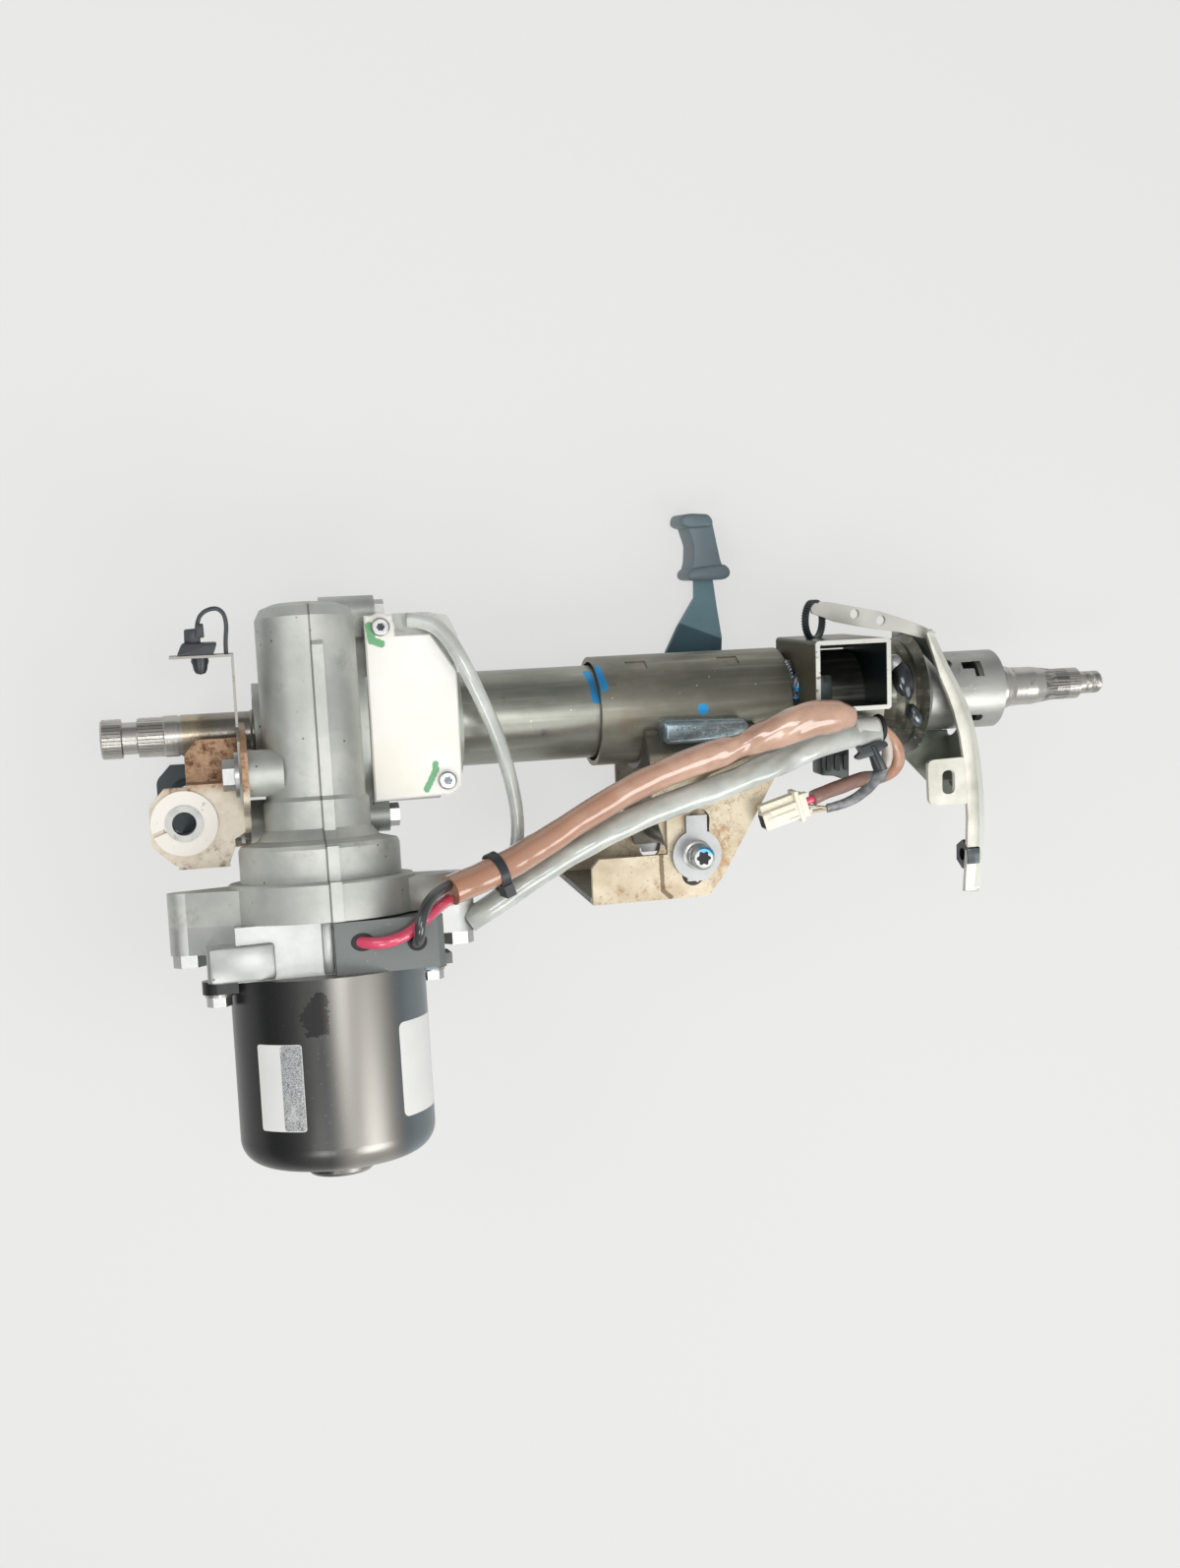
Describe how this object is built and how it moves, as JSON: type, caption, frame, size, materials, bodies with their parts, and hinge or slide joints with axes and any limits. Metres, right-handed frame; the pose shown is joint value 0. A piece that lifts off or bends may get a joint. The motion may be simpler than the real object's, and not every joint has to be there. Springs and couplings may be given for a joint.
{
  "type": "electric power steering column unit",
  "caption": "Steering column with worm-drive power assist: motor, torque sensor, tilt clamp with lever, lock box, lower pivot bracket and wiring tails.",
  "frame": {"origin": "middle of the lower pivot, on its axis, between the two ears of the lower bracket", "axes": "+X along the column towards the steering wheel, +Y from the pivot towards the column axis, +Z along the pivot axis towards the side that the motor hangs on"},
  "size_m": [0.546, 0.3124, 0.1855],
  "materials": {
    "cast_aluminium": "sand cast, lightly bead blasted, machined faces",
    "cover_paint": "near-white stamped cover",
    "black_paint": "gloss black paint",
    "satin_black": "satin black coating",
    "shaft_steel": "turned steel with a straw tint",
    "zinc_steel": "bright zinc plated",
    "inner_tube_steel": "drawn tube, grease marked",
    "jacket_steel": "olive grey phosphated tube",
    "bracket_steel": "plated pressing with rust at its edges",
    "plate_steel": "pale green grey plated pressing",
    "resin_white": "natural resin",
    "black_plastic": "black moulded plastic",
    "grip_plastic": "slate moulded grip",
    "terminal_plastic": "dark moulded resin",
    "brown_vinyl": "glossy vinyl tube",
    "grey_vinyl": "pale grey vinyl tube",
    "red_vinyl": "red wire covering",
    "black_vinyl": "black wire covering",
    "ivory_plastic": "ivory moulded resin",
    "magnet": "sintered magnet",
    "copper": "copper windings and laminations",
    "board": "circuit board",
    "seal_rubber": "moulded seal"
  },
  "bodies": {
    "column": {"gear_housing": "cast_aluminium", "sensor_housing": "cast_aluminium", "sensor_cover": "cover_paint", "cover_screws": "zinc_steel", "housing_bolts": "zinc_steel", "sensor_board": "board", "sensor_coil": "copper", "motor_adapter": "cast_aluminium", "terminal_block": "terminal_plastic", "motor_plate": "black_paint", "motor_can": "black_paint", "motor_magnets": "magnet", "brush_holder": "black_plastic", "drive_bolts": "zinc_steel", "drive_bearings": "shaft_steel", "output_bearings": "shaft_steel", "oil_seal": "seal_rubber", "lower_bracket": "bracket_steel", "pivot_bushes": "resin_white", "pivot_collars": "zinc_steel", "bracket_bolts": "zinc_steel", "clip_bracket": "bracket_steel", "tie_mount": "black_plastic", "inner_tube": "inner_tube_steel", "red_wire": "red_vinyl", "black_wire": "black_vinyl", "sensor_cable": "grey_vinyl", "brown_sleeve": "brown_vinyl", "grey_sleeve": "grey_vinyl", "cable_tie": "black_plastic"},
    "output_line": {"output_shaft": "shaft_steel", "torsion_bar": "shaft_steel", "wheel_hub": "shaft_steel", "wheel_gear": "resin_white"},
    "input_line": {"input_shaft": "shaft_steel"},
    "upper_shaft_line": {"upper_shaft": "shaft_steel"},
    "motor_line": {"worm_shaft": "shaft_steel", "worm_coupling": "shaft_steel", "armature": "copper", "armature_shaft": "shaft_steel"},
    "upper_jacket": {"outer_tube": "jacket_steel", "slide_bush": "resin_white", "upper_tube": "jacket_steel", "tilt_bracket": "bracket_steel", "lock_box": "plate_steel", "upper_plate": "plate_steel", "plate_nut": "satin_black", "ring_clip": "black_plastic", "bearing_tube": "plate_steel", "upper_bearing": "shaft_steel", "tilt_bolt": "shaft_steel", "guide_plates": "zinc_steel", "clamp_nut": "zinc_steel", "cam_plate": "zinc_steel", "lead_sleeve": "brown_vinyl", "wire_clip": "black_plastic", "connector": "ivory_plastic"},
    "lever_side": {"tilt_lever": "satin_black", "lever_grip": "grip_plastic"},
    "vehicle_side": {"vehicle_bracket": "bracket_steel"}
  },
  "joints": [
    {"name": "motor_turn", "type": "hinge", "parent": "column", "child": "motor_line", "pos_m": [0.0618, 0.04307, 0.04961], "axis": [0, 0.9921, -0.1253], "continuous": true},
    {"name": "steering_turn", "type": "hinge", "parent": "column", "child": "output_line", "pos_m": [0, 0.0368, 0], "axis": [1, 0, 0], "continuous": true},
    {"name": "torsion_twist", "type": "hinge", "parent": "output_line", "child": "input_line", "pos_m": [0, 0.0368, 0], "axis": [1, 0, 0], "range_deg": [-4.5, 4.5], "stiffness_Nm_per_rad": 100},
    {"name": "collapse", "type": "slide", "parent": "column", "child": "upper_jacket", "axis": [-1, 0, 0], "range_m": [0, 0.045], "deforming": ["brown_sleeve", "grey_sleeve"]},
    {"name": "shaft_slide", "type": "slide", "parent": "input_line", "child": "upper_shaft_line", "axis": [-1, 0, 0], "range_m": [0, 0.045]},
    {"name": "tilt", "type": "hinge", "parent": "upper_jacket", "child": "vehicle_side", "pos_m": [0, 0, 0], "axis": [0, 0, 1], "range_deg": [-3.6, 2.1]},
    {"name": "lever", "type": "hinge", "parent": "upper_jacket", "child": "lever_side", "pos_m": [0.2528, -0.0356, 0], "axis": [0, 0, 1], "range_deg": [-50, 0]}
  ],
  "couplings": [
    {"joint": "steering_turn", "follows": "motor_turn", "ratio": 0.04878},
    {"joint": "shaft_slide", "follows": "collapse", "ratio": 1}
  ]
}
